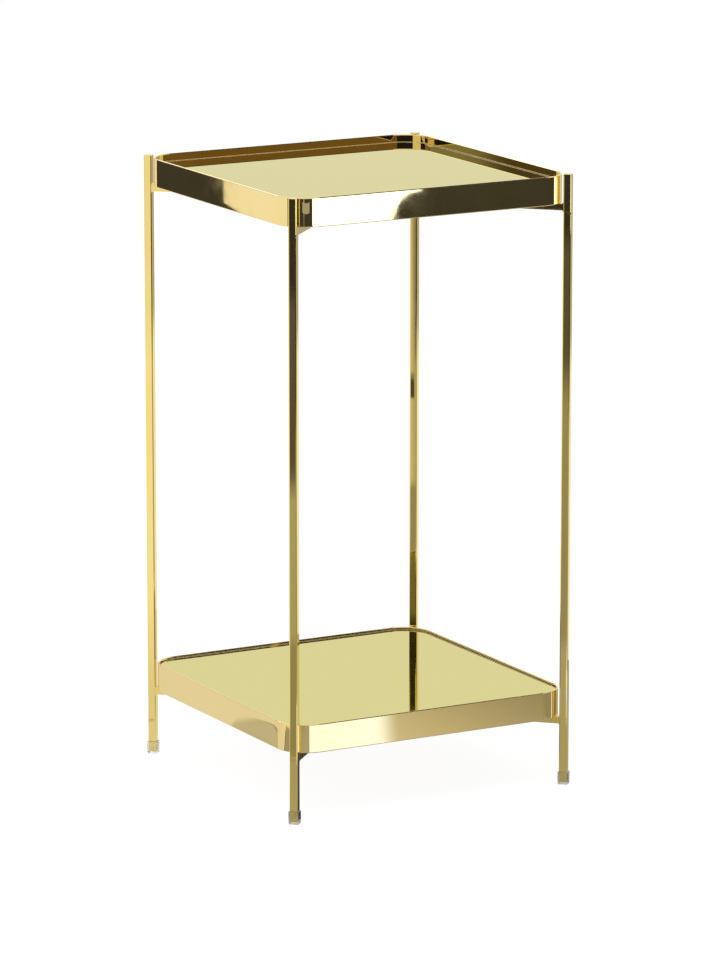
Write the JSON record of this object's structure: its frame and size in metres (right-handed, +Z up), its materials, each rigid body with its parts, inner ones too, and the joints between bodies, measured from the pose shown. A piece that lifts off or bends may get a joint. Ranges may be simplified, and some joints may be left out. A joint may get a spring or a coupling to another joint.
{
  "type": "tiered side table",
  "caption": "Square tiered side table: shallow metal trays with mirror tops, held one above the other on short arms by slim square legs with clear foot caps.",
  "frame": {"origin": "on the floor, at the middle of the four feet", "axes": "+Z up; X and Y along the straight sides of the trays, with -Y the side that the picture shows on the right"},
  "size_m": [0.3354, 0.3354, 0.65],
  "materials": {
    "gold_bar": "polished",
    "gold_band": "polished",
    "gold_sheet": "satin",
    "gold_mirror": "polished",
    "clear_plastic": "gloss",
    "foam_tape": "matte",
    "zinc_steel": "satin"
  },
  "bodies": {
    "root": {"leg_front_left": "gold_bar", "foot_cap_front_left": "clear_plastic", "leg_front_right": "gold_bar", "foot_cap_front_right": "clear_plastic", "leg_back_right": "gold_bar", "foot_cap_back_right": "clear_plastic", "leg_back_left": "gold_bar", "foot_cap_back_left": "clear_plastic", "upper_arm_front_left": "gold_bar", "upper_arm_front_right": "gold_bar", "upper_arm_back_right": "gold_bar", "upper_arm_back_left": "gold_bar", "upper_tray_rim": "gold_band", "upper_tray_base": "gold_sheet", "upper_mirror": "gold_mirror", "upper_mirror_pads": "foam_tape", "upper_tray_bosses": "gold_sheet", "upper_washers": "zinc_steel", "upper_screws": "zinc_steel", "lower_arm_front_left": "gold_bar", "lower_arm_front_right": "gold_bar", "lower_arm_back_right": "gold_bar", "lower_arm_back_left": "gold_bar", "lower_tray_rim": "gold_band", "lower_tray_base": "gold_sheet", "lower_mirror": "gold_mirror", "lower_mirror_pads": "foam_tape", "lower_tray_bosses": "gold_sheet", "lower_washers": "zinc_steel", "lower_screws": "zinc_steel"}
  },
  "joints": []
}
